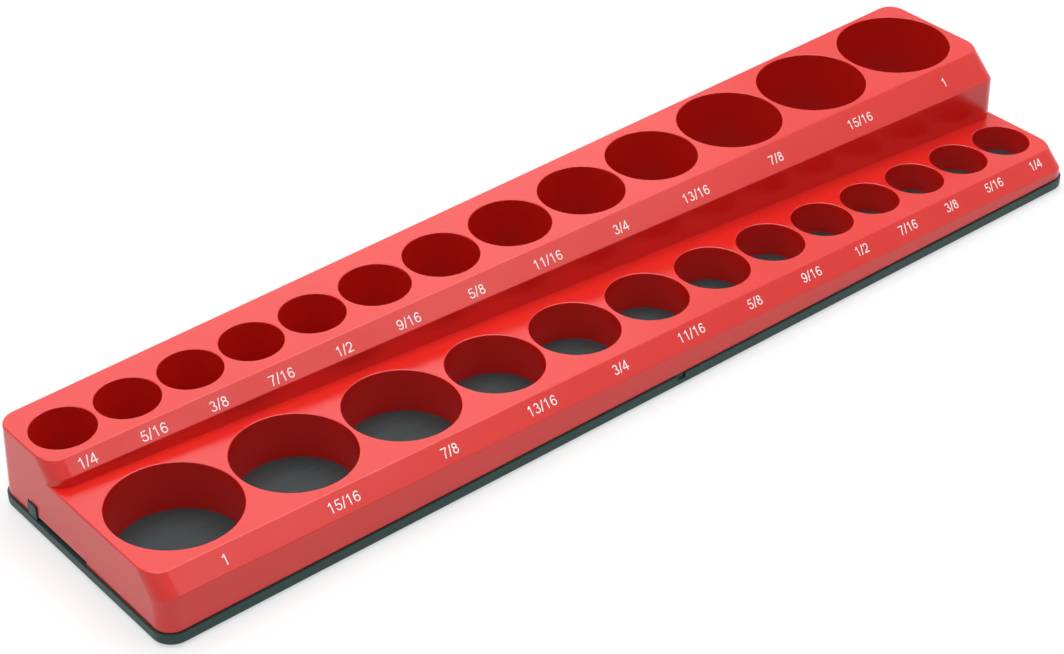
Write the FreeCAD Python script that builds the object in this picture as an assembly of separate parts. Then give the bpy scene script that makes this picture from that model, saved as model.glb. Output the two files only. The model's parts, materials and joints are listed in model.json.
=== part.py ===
import FreeCAD, Part
import math
import os

# Two-tier tray for 3/8 inch drive sockets: a moulded shell with a row of round
# wells in each tier, closed from below by a flat base that carries the magnets.
# Millimetres. X runs along the rows, Y to the back, Z up; the origin is at the
# middle of the footprint, on the surface the tray stands on.

Vector = FreeCAD.Vector

# Shell outline and its two tiers
shell_length = 341.0
shell_depth = 79.8
corner_radius = 5.5
draft_degrees = 1.5          # every outer wall leans in towards the top
rear_top_mid = 30.4          # height of the rear tier half way along
rear_top_rise = 0.0225       # the rear tier climbs towards +X
front_top_mid = 16.3         # height of the front tier half way along
front_top_rise = -0.0223     # the front tier falls towards +X
rear_edge_mid = 5.7          # where the rear tier's top meets its label face
rear_edge_lean = -0.0435     # that edge comes forward towards +X
rear_face_mid = 5.6          # size of the rear label face, which lies at 45 degrees
rear_face_growth = 0.0112
front_edge = -34.65          # where the front tier's top meets its label face
edge_radius = 0.5            # rounds the rim of each tier's top and the foot of its label face

# Shell walls
outer_wall = 2.2
roof = 2.2
well_wall = 1.6
rim_chamfer = 0.35
shadow_gap = 0.4             # the outer wall stops this far above the base

# Wells from the smallest socket to the largest: diameter, then the wall left
# between this well and the next one along the row
wells = [
    (18.0, 1.67),
    (18.0, 1.67),
    (18.0, 1.63),
    (18.0, 1.80),
    (18.8, 1.75),
    (20.5, 1.91),
    (22.3, 1.92),
    (24.3, 1.73),
    (26.1, 1.58),
    (28.0, 1.65),
    (32.6, 1.40),
    (34.4, 1.43),
    (36.1, 0.0),
]
# Rear row: smallest well at the -X end. Front row: smallest well at the +X end.
rear_row_start = -158.2
rear_row_mid_y = 21.1
rear_row_lean = -0.0203
rear_large_shift = 1.25      # the largest wells of the rear row sit further back
rear_large_from = 27.0       # diameter from which that shift applies
front_row_start = 159.0
front_row_mid_y = -17.4
front_row_lean = -0.0255

# Base
base_thickness = 3.6
base_overhang = 0.6
base_edge_radius = 1.2
pry_notch_width = 3.0
pry_notch_height = 1.5
pry_notch_depth = 0.8
pry_notch_x = 2.9
tab_width = 4.2
tab_height = 4.4
tab_thickness = 1.7
tab_clearance = 0.3
tab_corner = 0.8
tab_setback = 0.2
left_tab_y = 23.2
right_tab_y = -3.0
left_relief_height = 1.5     # the shell's -X wall is cut higher in front of its tab
left_relief_front = -3.0

# Liner: a thin black film let into the top of the base, which covers the magnets
# and makes one even floor for all the wells
liner_thickness = 0.5
liner_margin = 0.3           # it ends this far inside the shell's outer wall
liner_corner = 3.0
liner_clearance = 0.1

# Magnets: largest well diameter each disc size serves, then the disc diameter
magnet_sizes = [
    ("magnets_12", 19.0, 12.0),
    ("magnets_15", 25.0, 15.0),
    ("magnets_20", 30.0, 20.0),
    ("magnets_25", 40.0, 25.0),
]
magnet_thickness = 2.0
magnet_clearance = 0.1

# Screws that hold the base on, along the line between the two rows
screw_x = [-131.0, -42.0, 42.0, 131.0]
screw_line_mid = 1.9
screw_line_lean = -0.0345
screw_radius = 1.45
screw_head_radius = 2.8
screw_head_height = 1.4
screw_length = 9.5
screw_hole_clearance = 0.25
thread_clearance = 0.02
pilot_spare = 3.0            # the pilot hole goes on this far past the screw's tip
drive_radius = 0.9
drive_depth = 0.9
boss_radius = 3.4

# Foot pads
pad_radius = 5.0
pad_thickness = 0.8
pad_stand_off = 0.3          # the pads lift the base off the surface this much
pad_clearance = 0.1
pad_x = [-150.0, 0.0, 150.0]
pad_y = [-31.0, 31.0]

beyond = 6.0                 # how far a tier's bar runs past its trimmed ends and back
over_cut = 1.0               # how far a cutter runs past the face it opens
end_zone = 3.0               # edges this close to an end belong to that end
near_enough = 0.5            # an edge this close to where a feature lies belongs to it

base_top = pad_stand_off + base_thickness
magnet_top = base_top - liner_thickness
screw_seat = pad_stand_off + screw_hole_clearance
mitre = math.sqrt(2.0) - 1.0
above_everything = rear_top_mid + abs(rear_top_rise) * shell_length / 2 + beyond


def rear_top(x):
    return rear_top_mid + rear_top_rise * x


def front_top(x):
    return front_top_mid + front_top_rise * x


def rear_profile(x, inset, lid):
    """Rear tier in the plane across the row at x, drawn inset from its outer faces."""
    edge = rear_edge_mid + rear_edge_lean * x
    size = rear_face_mid + rear_face_growth * x
    top = rear_top(x) - lid
    wall = edge - size + inset
    shoulder = rear_top(x) - size - mitre * inset
    back = shell_depth / 2 + beyond
    return [
        Vector(x, back, base_top),
        Vector(x, back, top),
        Vector(x, edge + mitre * inset, top),
        Vector(x, wall, shoulder),
        Vector(x, wall, base_top),
    ]


def front_profile(x, inset, lid):
    """Front tier in the plane across the row at x; it ends inside the rear tier."""
    top = front_top(x) - lid
    edge = front_edge + mitre * inset
    front = -shell_depth / 2 - over_cut
    back = rear_edge_mid + rear_edge_lean * x + corner_radius
    return [
        Vector(x, back, base_top),
        Vector(x, back, top),
        Vector(x, edge, top),
        Vector(x, front, top - (edge - front)),
        Vector(x, front, base_top),
    ]


def skin(first, second):
    """Solid between two outlines with the same number of corners, flat on every side."""
    count = len(first)
    faces = [Part.Face(Part.makePolygon(first + first[:1]))]
    faces.append(Part.Face(Part.makePolygon(second + second[:1])))
    for i in range(count):
        j = (i + 1) % count
        ring = [first[i], first[j], second[j], second[i], first[i]]
        faces.append(Part.Face(Part.makePolygon(ring)))
    solid = Part.Solid(Part.Shell(faces))
    if solid.Volume < 0:
        solid.reverse()
    return solid


def rectangle(half_x, half_y, z):
    return [
        Vector(-half_x, -half_y, z),
        Vector(half_x, -half_y, z),
        Vector(half_x, half_y, z),
        Vector(-half_x, half_y, z),
    ]


def drafted_block(inset):
    """The footprint raised to above everything, leaning in by the draft."""
    lean = math.tan(math.radians(draft_degrees)) * (above_everything - base_top)
    half_x = shell_length / 2 - inset
    half_y = shell_depth / 2 - inset
    low = rectangle(half_x, half_y, base_top)
    high = rectangle(half_x - lean, half_y - lean, above_everything)
    return skin(low, high)


def tier(profile, inset, lid):
    ends = shell_length / 2 + beyond
    bar = skin(profile(-ends, inset, lid), profile(ends, inset, lid))
    return bar.common(drafted_block(inset))


def is_steep(edge):
    """Does this straight edge climb by more than half its length?"""
    return edge.BoundBox.ZLength > edge.Length / 2


def end_edges(solid):
    """The steep edges at both ends of a tier, down its label face and its walls."""
    near_end = shell_length / 2 - end_zone
    chosen = []
    for edge in solid.Edges:
        nearest = min(abs(edge.BoundBox.XMin), abs(edge.BoundBox.XMax))
        if nearest > near_end and is_steep(edge):
            chosen.append(edge)
    return chosen


def row_centres(start, direction):
    """Positions along X of the wells, each one wall away from the one before it."""
    places = []
    x = start
    for i, (diameter, wall) in enumerate(wells):
        places.append(x)
        if i + 1 < len(wells):
            x += direction * (diameter / 2 + wall + wells[i + 1][0] / 2)
    return places


def well_list():
    """Every well as (x, y, radius, top height)."""
    found = []
    for x, (diameter, wall) in zip(row_centres(rear_row_start, 1), wells):
        y = rear_row_mid_y + rear_row_lean * x
        if diameter >= rear_large_from:
            y += rear_large_shift
        found.append((x, y, diameter / 2, rear_top(x)))
    for x, (diameter, wall) in zip(row_centres(front_row_start, -1), wells):
        y = front_row_mid_y + front_row_lean * x
        found.append((x, y, diameter / 2, front_top(x)))
    return found


def post(x, y, radius, low, high):
    return Part.makeCylinder(radius, high - low, Vector(x, y, low))


def box(x_low, x_high, y_low, y_high, z_low, z_high):
    size = (x_high - x_low, y_high - y_low, z_high - z_low)
    return Part.makeBox(*size, Vector(x_low, y_low, z_low))


def round_corners(block, radius):
    """Round the four upright edges of a plain block."""
    return block.makeFillet(radius, [e for e in block.Edges if is_steep(e)])


def screw_places():
    return [(x, screw_line_mid + screw_line_lean * x) for x in screw_x]


def tab_places():
    """Each locating tab as (side along X, y)."""
    return [(-1, left_tab_y), (1, right_tab_y)]


def save(name, shape):
    shape.exportStep("parts/" + name + ".step")
    print(name, len(shape.Solids), "solids", round(shape.Volume / 1000, 2), "cm3")


def soften(bar):
    """Round the level edges of a tier above its foot."""
    level = []
    for edge in bar.Edges:
        above = edge.BoundBox.ZMin > base_top + near_enough
        if above and not is_steep(edge) and edge.Length > near_enough:
            level.append(edge)
    print("softened edges", len(level))
    return bar.makeFillet(edge_radius, level)


def make_rear():
    bar = tier(rear_profile, 0.0, 0.0)
    return soften(bar.makeFillet(corner_radius, end_edges(bar)))


def make_front():
    """The front tier, rounded at its own corners; its back stays buried in the rear tier."""
    bar = tier(front_profile, 0.0, 0.0)
    forward = [e for e in end_edges(bar) if e.BoundBox.YMax < front_edge + near_enough]
    return soften(bar.makeFillet(corner_radius, forward))


def make_shell():
    body = make_rear().fuse(make_front()).removeSplitter()
    hollow = tier(rear_profile, outer_wall, roof)
    hollow = hollow.fuse(tier(front_profile, outer_wall, roof))
    found = well_list()
    tubes = []
    for x, y, radius, top in found:
        tubes.append(post(x, y, radius + well_wall, base_top, above_everything))
    for x, y in screw_places():
        tubes.append(post(x, y, boss_radius, base_top, above_everything))
    hollow = hollow.cut(tubes)
    shell = body.cut(hollow)
    bores = []
    for x, y, radius, top in found:
        bores.append(post(x, y, radius, base_top - over_cut, above_everything))
    for x, y in screw_places():
        pilot_top = screw_seat + screw_length + pilot_spare
        bores.append(post(x, y, screw_radius + thread_clearance, base_top - over_cut, pilot_top))
    shell = shell.cut(bores)
    return cut_foot(round_rims(shell, found))


def round_rims(shell, found):
    """Break the sharp rim of every well."""
    chosen = []
    for edge in shell.Edges:
        box_of = edge.BoundBox
        for x, y, radius, top in found:
            off_centre = math.hypot(box_of.Center.x - x, box_of.Center.y - y)
            off_size = abs(box_of.YLength - 2 * radius)
            off_top = abs(box_of.Center.z - top)
            if max(off_centre, off_size, off_top) < near_enough:
                chosen.append(edge)
    print("rim edges", len(chosen))
    return shell.makeChamfer(rim_chamfer, chosen)


def cut_foot(shell):
    """Lift the outer wall clear of the base and cut the openings for the tabs."""
    half_x = shell_length / 2 + over_cut
    half_y = shell_depth / 2 + over_cut
    inner_x = shell_length / 2 - outer_wall
    inner_y = shell_depth / 2 - outer_wall
    gap_top = base_top + shadow_gap
    under = base_top - over_cut
    ring = box(-half_x, half_x, -half_y, half_y, under, gap_top)
    ring = ring.cut(box(-inner_x, inner_x, -inner_y, inner_y, under, gap_top))
    cutters = [ring]
    depth = tab_thickness + tab_clearance
    for side, y in tab_places():
        near = shell_length / 2 - depth
        x_low, x_high = sorted((side * near, side * half_x))
        half = tab_width / 2 + tab_clearance
        top = base_top + tab_height + tab_clearance
        cutters.append(box(x_low, x_high, y - half, y + half, under, top))
    relief_back = left_tab_y - tab_width / 2
    relief_top = base_top + left_relief_height
    edge_x = -shell_length / 2 + depth
    cutters.append(box(-half_x, edge_x, left_relief_front, relief_back, under, relief_top))
    return shell.cut(cutters)


def make_base():
    half_x = shell_length / 2 + base_overhang
    half_y = shell_depth / 2 + base_overhang
    plate = box(-half_x, half_x, -half_y, half_y, pad_stand_off, base_top)
    plate = round_corners(plate, corner_radius + base_overhang)
    low = [e for e in plate.Edges if e.BoundBox.ZMax < pad_stand_off + near_enough]
    plate = plate.makeFillet(base_edge_radius, low)
    for side, y in tab_places():
        outer = half_x - tab_setback
        x_low, x_high = sorted((side * (outer - tab_thickness), side * outer))
        top = base_top + tab_height
        tab = box(x_low, x_high, y - tab_width / 2, y + tab_width / 2, base_top - over_cut, top)
        shoulders = [
            e for e in tab.Edges
            if e.BoundBox.ZMin > top - near_enough and e.BoundBox.XLength > tab_thickness / 2
        ]
        plate = plate.fuse(tab.makeFillet(tab_corner, shoulders))
    cutters = []
    notch_x = pry_notch_x - pry_notch_width / 2
    notch_z = base_top - pry_notch_height
    notch_back = -half_y + pry_notch_depth
    notch_end = notch_x + pry_notch_width
    front = -half_y - over_cut
    cutters.append(box(notch_x, notch_end, front, notch_back, notch_z, base_top + over_cut))
    cutters.append(liner_outline(liner_clearance, base_top + over_cut))
    for x, y, radius, top in well_list():
        disc = magnet_for(radius)[2] / 2 + magnet_clearance
        cutters.append(post(x, y, disc, magnet_top - magnet_thickness, base_top))
    for x, y in screw_places():
        hole = screw_radius + screw_hole_clearance
        head = screw_head_radius + screw_hole_clearance
        cutters.append(post(x, y, hole, -over_cut, base_top + over_cut))
        cone = Part.makeCone(head, hole, screw_head_height, Vector(x, y, pad_stand_off))
        cutters.append(cone)
    for x in pad_x:
        for y in pad_y:
            cutters.append(post(x, y, pad_radius + pad_clearance, -over_cut, pad_thickness))
    return plate.cut(cutters).removeSplitter()


def liner_outline(grown, top):
    """The liner's shape, grown on every side, from the magnets' top faces up."""
    half_x = shell_length / 2 - outer_wall - liner_margin + grown
    half_y = shell_depth / 2 - outer_wall - liner_margin + grown
    sheet = box(-half_x, half_x, -half_y, half_y, magnet_top, top)
    return round_corners(sheet, liner_corner + grown)


def make_liner():
    hole = screw_radius + screw_hole_clearance
    holes = [post(x, y, hole, 0.0, above_everything) for x, y in screw_places()]
    return liner_outline(0.0, base_top).cut(holes)


def magnet_for(radius):
    for entry in magnet_sizes:
        if 2 * radius <= entry[1]:
            return entry
    return magnet_sizes[-1]


def make_magnets(entry):
    discs = []
    for x, y, radius, top in well_list():
        if magnet_for(radius) == entry:
            bottom = magnet_top - magnet_thickness
            discs.append(post(x, y, entry[2] / 2, bottom, magnet_top))
    return Part.makeCompound(discs)


def make_screws():
    """Countersunk tapping screws, heads just inside the base's underside."""
    screws = []
    for x, y in screw_places():
        head = Part.makeCone(
            screw_head_radius, screw_radius, screw_head_height, Vector(x, y, screw_seat))
        shank = post(x, y, screw_radius, screw_seat, screw_seat + screw_length)
        drive = post(x, y, drive_radius, screw_seat - over_cut, screw_seat + drive_depth)
        screws.append(head.fuse(shank).cut(drive).removeSplitter())
    return Part.makeCompound(screws)


def make_pads():
    pads = []
    for x in pad_x:
        for y in pad_y:
            pads.append(post(x, y, pad_radius, 0.0, pad_thickness))
    return Part.makeCompound(pads)


os.makedirs("parts", exist_ok=True)
save("top_shell", make_shell())
save("base_plate", make_base())
save("floor_liner", make_liner())
for size in magnet_sizes:
    save(size[0], make_magnets(size))
save("shell_screws", make_screws())
save("foot_pads", make_pads())
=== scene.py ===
import bpy
import bmesh
import json
import math
from mathutils import Matrix, Vector


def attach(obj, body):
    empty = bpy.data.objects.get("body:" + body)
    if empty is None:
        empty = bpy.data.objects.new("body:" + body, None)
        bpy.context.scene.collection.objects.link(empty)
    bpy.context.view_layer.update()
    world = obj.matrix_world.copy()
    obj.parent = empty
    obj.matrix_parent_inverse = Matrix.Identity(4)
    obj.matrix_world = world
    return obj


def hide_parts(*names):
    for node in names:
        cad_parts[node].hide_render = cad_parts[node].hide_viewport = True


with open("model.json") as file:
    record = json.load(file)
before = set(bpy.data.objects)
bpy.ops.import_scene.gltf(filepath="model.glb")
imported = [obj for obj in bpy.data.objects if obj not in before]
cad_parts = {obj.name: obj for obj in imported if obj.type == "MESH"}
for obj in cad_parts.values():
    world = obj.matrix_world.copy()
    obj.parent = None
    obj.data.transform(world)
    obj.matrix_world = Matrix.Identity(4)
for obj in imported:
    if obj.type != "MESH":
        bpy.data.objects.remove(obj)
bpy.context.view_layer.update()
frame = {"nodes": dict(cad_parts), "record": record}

mm = 0.001


# sRGB hex to the linear colour that a shader socket takes
def hexToLinear(hexText):
    channels = [int(hexText[i:i + 2], 16) / 255 for i in (1, 3, 5)]
    return tuple(c / 12.92 if c <= 0.04045 else ((c + 0.055) / 1.055) ** 2.4
                 for c in channels) + (1.0,)


# adds a node, sets its properties and input values, and links its inputs
def addNode(tree, kind, settings=None, values=None, links=None):
    node = tree.nodes.new(kind)
    for name, value in (settings or {}).items():
        setattr(node, name, value)
    for socket, value in (values or {}).items():
        node.inputs[socket].default_value = value
    for socket, source in (links or {}).items():
        tree.links.new(source, node.inputs[socket])
    return node


def newMaterial(name):
    material = bpy.data.materials.new(name)
    material.use_nodes = True
    material.node_tree.nodes.clear()
    return material, material.node_tree


# noise repeats once in each unit of its own space, so its scale is one over its size in metres
def scaleFor(sizeInMm):
    return 1.0 / (sizeInMm * mm)


print("materials")

# in the dictionaries of the materials every size and height is in mm

# ABS injection moulded in a polished tool: a saturated red body under a clear, glossy skin
redAbs = {
    "body": "#e2251d", "bodyDeep": "#d81f18", "ior": 1.54, "toneSize": 45.0,
    "roughness": (0.17, 0.24), "hazeFrom": (0.35, 0.65),
    "waveSize": 14.0, "waveHeight": 0.010, "peelSize": 0.9, "peelHeight": 0.0006,
}


def mouldedRedAbs():
    material, tree = newMaterial("mouldedRedAbs")
    place = addNode(tree, "ShaderNodeTexCoord").outputs["Object"]
    # slow change of tone where the melt front slowed down
    tone = addNode(tree, "ShaderNodeTexNoise", None,
                   {"Scale": scaleFor(redAbs["toneSize"]), "Detail": 2.0}, {"Vector": place})
    colour = addNode(tree, "ShaderNodeMix", {"data_type": "RGBA"},
                     {"A": hexToLinear(redAbs["body"]), "B": hexToLinear(redAbs["bodyDeep"])},
                     {"Factor": tone.outputs["Fac"]})
    # handling leaves patches that are a little less glossy
    haze = addNode(tree, "ShaderNodeTexNoise", None,
                   {"Scale": scaleFor(redAbs["waveSize"]), "Detail": 4.0}, {"Vector": place})
    roughness = addNode(tree, "ShaderNodeMapRange", None, {
        "From Min": redAbs["hazeFrom"][0], "From Max": redAbs["hazeFrom"][1],
        "To Min": redAbs["roughness"][0], "To Max": redAbs["roughness"][1],
    }, {"Value": haze.outputs["Fac"]})
    # sink and flow waves, then a fine orange peel
    wave = addNode(tree, "ShaderNodeTexNoise", None,
                   {"Scale": scaleFor(redAbs["waveSize"]), "Detail": 1.0}, {"Vector": place})
    waveBump = addNode(tree, "ShaderNodeBump", None,
                       {"Distance": redAbs["waveHeight"] * mm}, {"Height": wave.outputs["Fac"]})
    peel = addNode(tree, "ShaderNodeTexNoise", None,
                   {"Scale": scaleFor(redAbs["peelSize"]), "Detail": 2.0}, {"Vector": place})
    peelBump = addNode(tree, "ShaderNodeBump", None, {"Distance": redAbs["peelHeight"] * mm},
                       {"Height": peel.outputs["Fac"], "Normal": waveBump.outputs["Normal"]})
    shader = addNode(tree, "ShaderNodeBsdfPrincipled", None, {"IOR": redAbs["ior"]}, {
        "Base Color": colour.outputs["Result"], "Roughness": roughness.outputs["Result"],
        "Normal": peelBump.outputs["Normal"],
    })
    addNode(tree, "ShaderNodeOutputMaterial", None, None, {"Surface": shader.outputs["BSDF"]})
    return material


# ABS moulded in a spark-eroded tool: a dark greenish grey with a satin grain
# (the real grain is nearer 0.1 mm, and is drawn coarser so that it shows)
blackAbs = {
    "body": "#26423f", "bodyWorn": "#304d49", "wearSize": 18.0, "roughness": (0.36, 0.48),
    "ior": 1.52, "specular": 0.22, "grainSize": 0.5, "grainHeight": 0.006,
}


def mouldedBlackAbs():
    material, tree = newMaterial("mouldedBlackAbs")
    place = addNode(tree, "ShaderNodeTexCoord").outputs["Object"]
    wear = addNode(tree, "ShaderNodeTexNoise", None,
                   {"Scale": scaleFor(blackAbs["wearSize"]), "Detail": 5.0}, {"Vector": place})
    colour = addNode(tree, "ShaderNodeMix", {"data_type": "RGBA"},
                     {"A": hexToLinear(blackAbs["body"]), "B": hexToLinear(blackAbs["bodyWorn"])},
                     {"Factor": wear.outputs["Fac"]})
    roughness = addNode(tree, "ShaderNodeMapRange", None,
                        {"To Min": blackAbs["roughness"][0], "To Max": blackAbs["roughness"][1]},
                        {"Value": wear.outputs["Fac"]})
    grain = addNode(tree, "ShaderNodeTexNoise", None,
                    {"Scale": scaleFor(blackAbs["grainSize"]), "Detail": 3.0}, {"Vector": place})
    bump = addNode(tree, "ShaderNodeBump", None,
                   {"Distance": blackAbs["grainHeight"] * mm}, {"Height": grain.outputs["Fac"]})
    shader = addNode(tree, "ShaderNodeBsdfPrincipled", None,
                     {"IOR": blackAbs["ior"], "Specular IOR Level": blackAbs["specular"]}, {
                         "Base Color": colour.outputs["Result"],
                         "Roughness": roughness.outputs["Result"],
                         "Normal": bump.outputs["Normal"],
                     })
    addNode(tree, "ShaderNodeOutputMaterial", None, None, {"Surface": shader.outputs["BSDF"]})
    return material


# polypropylene film, calendered matt: a dark grey with faint rolling marks along the tray
mattFilm = {
    "body": "#2a3334", "bodyPale": "#3b4648", "roughness": 0.55, "ior": 1.49, "specular": 0.3,
    "markSize": 2.2, "markStretch": 20.0, "markHeight": 0.004,
}


def calenderedFilm():
    material, tree = newMaterial("calenderedFilm")
    place = addNode(tree, "ShaderNodeTexCoord").outputs["Object"]
    # drawn out along X, as the rollers leave them
    rolled = addNode(tree, "ShaderNodeMapping", None,
                     {"Scale": (1.0 / mattFilm["markStretch"], 1.0, 1.0)}, {"Vector": place})
    marks = addNode(tree, "ShaderNodeTexNoise", None,
                    {"Scale": scaleFor(mattFilm["markSize"]), "Detail": 4.0},
                    {"Vector": rolled.outputs["Vector"]})
    colour = addNode(tree, "ShaderNodeMix", {"data_type": "RGBA"},
                     {"A": hexToLinear(mattFilm["body"]), "B": hexToLinear(mattFilm["bodyPale"])},
                     {"Factor": marks.outputs["Fac"]})
    bump = addNode(tree, "ShaderNodeBump", None,
                   {"Distance": mattFilm["markHeight"] * mm}, {"Height": marks.outputs["Fac"]})
    shader = addNode(tree, "ShaderNodeBsdfPrincipled", None, {
        "Roughness": mattFilm["roughness"], "IOR": mattFilm["ior"],
        "Specular IOR Level": mattFilm["specular"],
    }, {"Base Color": colour.outputs["Result"], "Normal": bump.outputs["Normal"]})
    addNode(tree, "ShaderNodeOutputMaterial", None, None, {"Surface": shader.outputs["BSDF"]})
    return material


# epoxy powder over a sintered magnet: dark, slightly pebbled, a soft sheen
epoxyCoat = {
    "body": "#2b3131", "roughness": 0.32, "ior": 1.55, "pebbleSize": 0.35, "pebbleHeight": 0.004,
}


def magnetEpoxy():
    material, tree = newMaterial("magnetEpoxy")
    place = addNode(tree, "ShaderNodeTexCoord").outputs["Object"]
    pebble = addNode(tree, "ShaderNodeTexNoise", None,
                     {"Scale": scaleFor(epoxyCoat["pebbleSize"]), "Detail": 2.0},
                     {"Vector": place})
    bump = addNode(tree, "ShaderNodeBump", None, {"Distance": epoxyCoat["pebbleHeight"] * mm},
                   {"Height": pebble.outputs["Fac"]})
    shader = addNode(tree, "ShaderNodeBsdfPrincipled", None, {
        "Base Color": hexToLinear(epoxyCoat["body"]), "Roughness": epoxyCoat["roughness"],
        "IOR": epoxyCoat["ior"],
    }, {"Normal": bump.outputs["Normal"]})
    addNode(tree, "ShaderNodeOutputMaterial", None, None, {"Surface": shader.outputs["BSDF"]})
    return material


# bright zinc plate on a rolled screw: a cool metal whose gloss changes from spot to spot
zinc = {"body": "#c3c7cb", "roughness": (0.25, 0.42), "spotSize": 0.6}


def zincPlate():
    material, tree = newMaterial("zincPlate")
    place = addNode(tree, "ShaderNodeTexCoord").outputs["Object"]
    spots = addNode(tree, "ShaderNodeTexNoise", None,
                    {"Scale": scaleFor(zinc["spotSize"]), "Detail": 3.0}, {"Vector": place})
    roughness = addNode(tree, "ShaderNodeMapRange", None,
                        {"To Min": zinc["roughness"][0], "To Max": zinc["roughness"][1]},
                        {"Value": spots.outputs["Fac"]})
    shader = addNode(tree, "ShaderNodeBsdfPrincipled", None,
                     {"Base Color": hexToLinear(zinc["body"]), "Metallic": 1.0},
                     {"Roughness": roughness.outputs["Result"]})
    addNode(tree, "ShaderNodeOutputMaterial", None, None, {"Surface": shader.outputs["BSDF"]})
    return material


# pressed rubber sheet, die cut: dull black with a fine pitted face
rubber = {"body": "#1c1d1d", "roughness": 0.78, "pitSize": 0.4, "pitHeight": 0.02}


def pressedRubber():
    material, tree = newMaterial("pressedRubber")
    place = addNode(tree, "ShaderNodeTexCoord").outputs["Object"]
    pits = addNode(tree, "ShaderNodeTexNoise", None,
                   {"Scale": scaleFor(rubber["pitSize"]), "Detail": 4.0}, {"Vector": place})
    bump = addNode(tree, "ShaderNodeBump", None,
                   {"Distance": rubber["pitHeight"] * mm}, {"Height": pits.outputs["Fac"]})
    shader = addNode(tree, "ShaderNodeBsdfPrincipled", None,
                     {"Base Color": hexToLinear(rubber["body"]), "Roughness": rubber["roughness"]},
                     {"Normal": bump.outputs["Normal"]})
    addNode(tree, "ShaderNodeOutputMaterial", None, None, {"Surface": shader.outputs["BSDF"]})
    return material


# pad-printed ink: a satin white, thin enough for the red to dull it slightly at the worn spots
whiteInk = {"body": "#ffffff", "bodyWorn": "#f6e6e4", "roughness": 0.45, "wearSize": 0.8}


def padPrintInk():
    material, tree = newMaterial("padPrintInk")
    place = addNode(tree, "ShaderNodeTexCoord").outputs["Object"]
    worn = addNode(tree, "ShaderNodeTexNoise", None,
                   {"Scale": scaleFor(whiteInk["wearSize"]), "Detail": 3.0}, {"Vector": place})
    colour = addNode(tree, "ShaderNodeMix", {"data_type": "RGBA"},
                     {"A": hexToLinear(whiteInk["body"]), "B": hexToLinear(whiteInk["bodyWorn"])},
                     {"Factor": worn.outputs["Fac"]})
    shader = addNode(tree, "ShaderNodeBsdfPrincipled", None,
                     {"Roughness": whiteInk["roughness"]},
                     {"Base Color": colour.outputs["Result"]})
    addNode(tree, "ShaderNodeOutputMaterial", None, None, {"Surface": shader.outputs["BSDF"]})
    return material


redPlastic = mouldedRedAbs()
blackPlastic = mouldedBlackAbs()
linerFinish = calenderedFilm()
magnetFinish = magnetEpoxy()
screwFinish = zincPlate()
padFinish = pressedRubber()
inkFinish = padPrintInk()


def coat(piece, material):
    piece.data.materials.clear()
    piece.data.materials.append(material)


def addPiece(name, mesh, material):
    piece = bpy.data.objects.new(name, mesh)
    bpy.context.scene.collection.objects.link(piece)
    coat(piece, material)
    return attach(piece, "root")


# shades each corner of a face with the mean of the faces that meet there and turn from it by less
# than bendWithin degrees, the larger ones most: flat faces stay flat, and the narrow strips of a
# rounded edge carry the whole bend
def turnNormals(mesh, bendWithin):
    around = [[] for vertex in mesh.vertices]
    for face in mesh.polygons:
        face.use_smooth = True
        for corner in face.vertices:
            around[corner].append(face.index)
    ways = [face.normal * face.area for face in mesh.polygons]
    leastLikeness = math.cos(math.radians(bendWithin))
    normals = []
    for face in mesh.polygons:
        for corner in face.vertices:
            near = [ways[i] for i in around[corner]
                    if mesh.polygons[i].normal.dot(face.normal) > leastLikeness]
            normals.append(sum(near, Vector()).normalized() if near else face.normal.copy())
    mesh.normals_split_custom_set(normals)


# a copy of a node's mesh, its loose triangles merged into closed faces, and shaded by turnNormals
def smoothCopy(nodeName, settings):
    form = bmesh.new()
    form.from_mesh(frame["nodes"][nodeName].data)
    bmesh.ops.remove_doubles(form, verts=form.verts, dist=settings["mergeWithin"] * mm)
    bmesh.ops.dissolve_limit(form, angle_limit=math.radians(settings["flatWithin"]),
                             verts=form.verts, edges=form.edges)
    mesh = bpy.data.meshes.new(nodeName + "Smooth")
    form.to_mesh(mesh)
    form.free()
    turnNormals(mesh, settings["bendWithin"])
    return mesh


print("shell")

# mergeWithin in mm, flatWithin and bendWithin in degrees
shell = {"mergeWithin": 0.01, "flatWithin": 0.6, "bendWithin": 50.0}

shellPiece = addPiece("trayShell", smoothCopy("top_shell", shell), redPlastic)
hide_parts("top_shell")

print("base, liner, magnets, screws and pads")

base = {"mergeWithin": 0.01, "flatWithin": 0.6, "bendWithin": 40.0}

basePiece = addPiece("trayBase", smoothCopy("base_plate", base), blackPlastic)
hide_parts("base_plate")

coat(frame["nodes"]["floor_liner"], linerFinish)
for nodeName in frame["nodes"]:
    if nodeName.startswith("magnets"):
        coat(frame["nodes"][nodeName], magnetFinish)
coat(frame["nodes"]["shell_screws"], screwFinish)
coat(frame["nodes"]["foot_pads"], padFinish)

print("size numbers")

# in mm: start and end are the middles of the figures at a row's -X and +X ends, bow brings the
# middle of the row forward, and shift moves the figures along the row from their well;
# stroke and the widths are parts of the height, and arcStep is in degrees
numbers = {
    "rear": {"start": (-158.0, 10.4), "end": (147.5, -4.25), "bow": 0.45, "shift": -1.2},
    "front": {"start": (-149.0, -37.25), "end": (158.0, -36.6), "bow": 0.1, "shift": -0.6},
    "height": 2.95, "stroke": 0.11, "figureWidth": 0.785, "slashWidth": 0.39, "arcStep": 15,
    "thickness": 0.03, "step": 0.004, "steps": 3,
}

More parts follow.
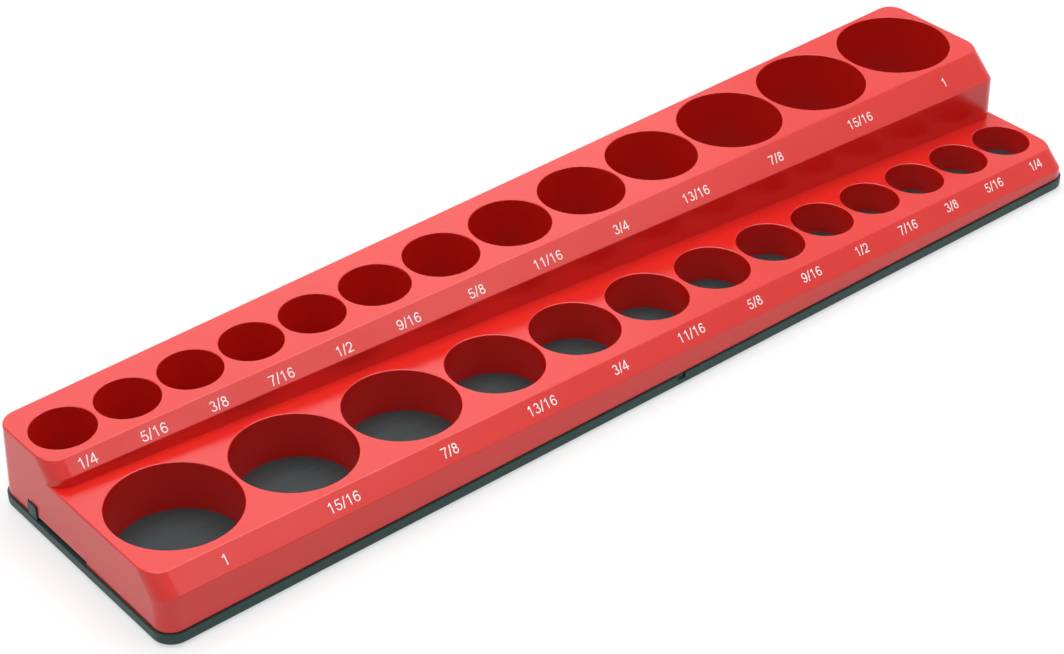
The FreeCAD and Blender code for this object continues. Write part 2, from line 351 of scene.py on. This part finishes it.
# each figure is strokes on a field one unit high: (x, y) is a point of the pen's path, and
# (x, y, across, up, from, to) is an arc with its middle, its half sizes and its angles in degrees
figures = {
    "1": [[(0.19, 0.75), (0.34, 0.84), (0.44, 0.98)], [(0.44, 0.0), (0.44, 1.0)]],
    "2": [[(0.38, 0.68, 0.255, 0.255, 170, -48), (0.11, 0.07)], [(0.05, 0.065), (0.68, 0.065)]],
    "3": [[(0.37, 0.73, 0.21, 0.205, 165, -90)], [(0.37, 0.295, 0.25, 0.235, 90, -168)]],
    "4": [[(0.52, 0.95), (0.08, 0.30)], [(0.03, 0.285), (0.73, 0.285)],
          [(0.52, 0.0), (0.52, 1.0)]],
    "5": [[(0.65, 0.93), (0.21, 0.93), (0.15, 0.50)], [(0.37, 0.32, 0.265, 0.26, 138, -168)]],
    "6": [[(0.42, 0.50, 0.29, 0.435, 38, 180), (0.13, 0.32)],
          [(0.385, 0.32, 0.255, 0.255, 0, 360)]],
    "7": [[(0.06, 0.93), (0.68, 0.93)], [(0.66, 0.91), (0.43, 0.55), (0.28, 0.0)]],
    "8": [[(0.385, 0.74, 0.205, 0.195, 0, 360)], [(0.385, 0.30, 0.25, 0.237, 0, 360)]],
    "9": [[(0.385, 0.68, 0.255, 0.255, 0, 360)],
          [(0.64, 0.68), (0.35, 0.50, 0.29, 0.435, 0, -142)]],
    "/": [[(0.02, -0.02), (0.34, 1.02)]],
}


# the point of the shell under (x, y), and the way its face looks
def onShell(x, y):
    found, place, normal, index = shellPiece.ray_cast(Vector((x, y, 1.0)), Vector((0, 0, -1)))
    return place, normal


def pathOf(stroke):
    path = []
    for step in stroke:
        if len(step) == 2:
            path.append(Vector(step))
            continue
        x, y, across, up, first, last = step
        count = max(2, round(abs(last - first) / numbers["arcStep"]))
        for i in range(count + 1):
            turn = math.radians(first + (last - first) * i / count)
            path.append(Vector((x + across * math.cos(turn), y + up * math.sin(turn))))
    return path


# draws the pen's nib, an edge as wide as the stroke, along the path, then makes it one unit thick
def inkStroke(form, path):
    nib = None
    closed = path[0] == path[-1]
    for i, point in enumerate(path):
        ahead = (path[min(i + 1, len(path) - 1)] - path[max(i - 1, 0)]).normalized()
        if closed and i in (0, len(path) - 1):
            ahead = (path[1] - path[-2]).normalized()
        side = Vector((-ahead.y, ahead.x, 0)) * numbers["stroke"] / 2
        centre = Vector((point.x, point.y, 0))
        if nib is None:
            nib = form.edges.new([form.verts.new(centre - side), form.verts.new(centre + side)])
            low = nib.verts[0]
            continue
        made = bmesh.ops.extrude_edge_only(form, edges=[nib])["geom"]
        newEdge = next(g for g in made if isinstance(g, bmesh.types.BMEdge))
        # each end of the old nib, with the end of the new one that was drawn from it
        fresh = {e.other_vert(v): v for v in newEdge.verts for e in v.link_edges
                 if e != newEdge and e.other_vert(v) in nib.verts}
        high = nib.other_vert(low)
        fresh[low].co = centre - side
        fresh[high].co = centre + side
        low = fresh[low]
        nib = newEdge
    top = bmesh.ops.extrude_face_region(form, geom=list(form.faces))["geom"]
    bmesh.ops.translate(form, vec=(0, 0, 1.0),
                        verts=[g for g in top if isinstance(g, bmesh.types.BMVert)])


def widthOf(text):
    return sum(numbers["slashWidth" if c == "/" else "figureWidth"] for c in text)


# one number, upright, with its middle at the origin and its size in metres; each stroke differs
# from the last by a step in thickness, so the tops of two that cross don't lie in one plane
def numberMesh(text):
    whole = bmesh.new()
    at = -widthOf(text) / 2
    layer = 0
    size = numbers["height"] * mm
    for character in text:
        for stroke in figures[character]:
            form = bmesh.new()
            inkStroke(form, pathOf(stroke))
            bmesh.ops.recalc_face_normals(form, faces=form.faces)
            depth = (numbers["thickness"] + layer * numbers["step"]) * mm
            bmesh.ops.translate(form, vec=(at, -0.5, 0), verts=form.verts)
            bmesh.ops.scale(form, vec=(size, size, depth), verts=form.verts)
            part = bpy.data.meshes.new("stroke")
            form.to_mesh(part)
            form.free()
            whole.from_mesh(part)
            bpy.data.meshes.remove(part)
            layer = (layer + 1) % numbers["steps"]
        at += widthOf(character)
    mesh = bpy.data.meshes.new("number")
    whole.to_mesh(mesh)
    whole.free()
    return mesh


# the wells are named for their row and size, such as well_rear_5_16, and so are the numbers
def printNumbers(row):
    start, end = (Vector(numbers[row][k]) * mm for k in ("start", "end"))
    first, normal = onShell(*start)
    last, normal = onShell(*end)
    along = (last - first).normalized()
    up = normal.cross(along)
    turn = Matrix((along, up, normal)).transposed().to_4x4()
    form = bmesh.new()
    for mount in frame["record"]["mounts"]:
        if mount["name"].startswith("well_" + row):
            text = mount["name"].split("_", 2)[2].replace("_", "/")
            x = mount["pos_m"][0] + numbers[row]["shift"] * mm
            share = (x - start.x) / (end.x - start.x)
            # nothing at the row's ends, and the whole bow in its middle
            bow = numbers[row]["bow"] * mm * 4 * share * (1 - share)
            place, normal = onShell(x, start.y + (end.y - start.y) * share - bow)
            mesh = numberMesh(text)
            mesh.transform(Matrix.Translation(place) @ turn)
            form.from_mesh(mesh)
    mesh = bpy.data.meshes.new(row + "Numbers")
    form.to_mesh(mesh)
    form.free()
    addPiece(row + "Numbers", mesh, inkFinish)


for row in ("rear", "front"):
    printNumbers(row)

print("studio")

# cameraPlace is in mm; azimuth turns from +Y to +X, elevation is how far the camera looks down,
# and both are in degrees, as roll is; the floor's half width is in metres
studio = {
    "world": "#ffffff", "worldStrength": 0.2,
    "floor": "#f4f5f5", "floorGlow": 0.6, "floorHalf": 3.0,
    "cameraPlace": (-395.06, -450.98, 419.71), "azimuth": 39.846, "elevation": 34.98,
    "roll": -0.235, "focalPixels": 2483.6, "framePixels": 1064, "sensor": 36.0,
}

# softboxes that face the tray: place and size in metres, power in watts
lamps = {
    "backSoftbox": {"place": (0.45, 1.35, 1.0), "size": (1.4, 1.2), "power": 4.5},
    "overheadSoftbox": {"place": (0.0, 0.12, 1.6), "size": (2.0, 1.5), "power": 31},
    "frontSoftbox": {"place": (0.62, -0.82, 1.2), "size": (1.0, 0.5), "power": 1.9},
}


def addCamera():
    azimuth, elevation, roll = (math.radians(studio[k]) for k in ("azimuth", "elevation", "roll"))
    ahead = Vector((math.sin(azimuth) * math.cos(elevation),
                    math.cos(azimuth) * math.cos(elevation), -math.sin(elevation)))
    level = ahead.cross(Vector((0, 0, 1))).normalized()
    upright = level.cross(ahead)
    right = level * math.cos(roll) + upright * math.sin(roll)
    up = upright * math.cos(roll) - level * math.sin(roll)
    lens = bpy.data.cameras.new("camera")
    lens.sensor_width = studio["sensor"]
    lens.lens = studio["sensor"] * studio["focalPixels"] / studio["framePixels"]
    camera = bpy.data.objects.new("camera", lens)
    camera.matrix_world = (Matrix.Translation(Vector(studio["cameraPlace"]) * mm)
                           @ Matrix((right, up, -ahead)).transposed().to_4x4())
    bpy.context.scene.collection.objects.link(camera)
    bpy.context.scene.camera = camera


# 1 for a ray from the camera, a mirror or glass, and 0 for light on its way between matt surfaces
def looksOrMirrors(tree):
    seen = addNode(tree, "ShaderNodeLightPath")
    either = addNode(tree, "ShaderNodeMath", {"operation": "ADD", "use_clamp": True}, None,
                     {0: seen.outputs["Is Camera Ray"], 1: seen.outputs["Is Glossy Ray"]})
    anyOf = addNode(tree, "ShaderNodeMath", {"operation": "ADD", "use_clamp": True}, None,
                    {0: either.outputs[0], 1: seen.outputs["Is Transmission Ray"]})
    return anyOf.outputs[0]


# what the camera, mirrors and glass see is plain white, whatever lights the object
def addWorld():
    world = bpy.data.worlds.new("studioWorld")
    world.use_nodes = True
    tree = world.node_tree
    tree.nodes.clear()
    lit = addNode(tree, "ShaderNodeBackground", None,
                  {"Color": hexToLinear(studio["world"]), "Strength": studio["worldStrength"]})
    white = addNode(tree, "ShaderNodeBackground", None,
                    {"Color": hexToLinear(studio["world"]), "Strength": 1.0})
    mixed = addNode(tree, "ShaderNodeMixShader", None, None, {
        0: looksOrMirrors(tree), 1: lit.outputs["Background"], 2: white.outputs["Background"],
    })
    addNode(tree, "ShaderNodeOutputWorld", None, None, {"Surface": mixed.outputs["Shader"]})
    bpy.context.scene.world = world


def addFloor():
    form = bmesh.new()
    bmesh.ops.create_grid(form, x_segments=1, y_segments=1, size=studio["floorHalf"])
    mesh = bpy.data.meshes.new("floor")
    form.to_mesh(mesh)
    form.free()
    floor = bpy.data.objects.new("floor", mesh)
    bpy.context.scene.collection.objects.link(floor)
    # seen directly or in a mirror, the paper is nearer to plain white, and still shows the
    # object's shadow
    material, tree = newMaterial("whiteSweep")
    paper = addNode(tree, "ShaderNodeBsdfDiffuse", None, {"Color": hexToLinear(studio["floor"])})
    glow = addNode(tree, "ShaderNodeEmission", None,
                   {"Color": hexToLinear(studio["world"]), "Strength": 1.0})
    white = addNode(tree, "ShaderNodeMixShader", None, {0: studio["floorGlow"]},
                    {1: paper.outputs["BSDF"], 2: glow.outputs["Emission"]})
    mixed = addNode(tree, "ShaderNodeMixShader", None, None,
                    {0: looksOrMirrors(tree), 1: paper.outputs["BSDF"], 2: white.outputs["Shader"]})
    addNode(tree, "ShaderNodeOutputMaterial", None, None, {"Surface": mixed.outputs["Shader"]})
    floor.data.materials.append(material)


def addLamp(name):
    data = bpy.data.lights.new(name, "AREA")
    data.shape = "RECTANGLE"
    data.size, data.size_y = lamps[name]["size"]
    data.energy = lamps[name]["power"]
    lamp = bpy.data.objects.new(name, data)
    lamp.location = lamps[name]["place"]
    lamp.rotation_euler = (-lamp.location).to_track_quat("-Z", "Y").to_euler()
    bpy.context.scene.collection.objects.link(lamp)


addCamera()
addWorld()
addFloor()
for name in lamps:
    addLamp(name)

bpy.context.scene.view_settings.view_transform = "Standard"
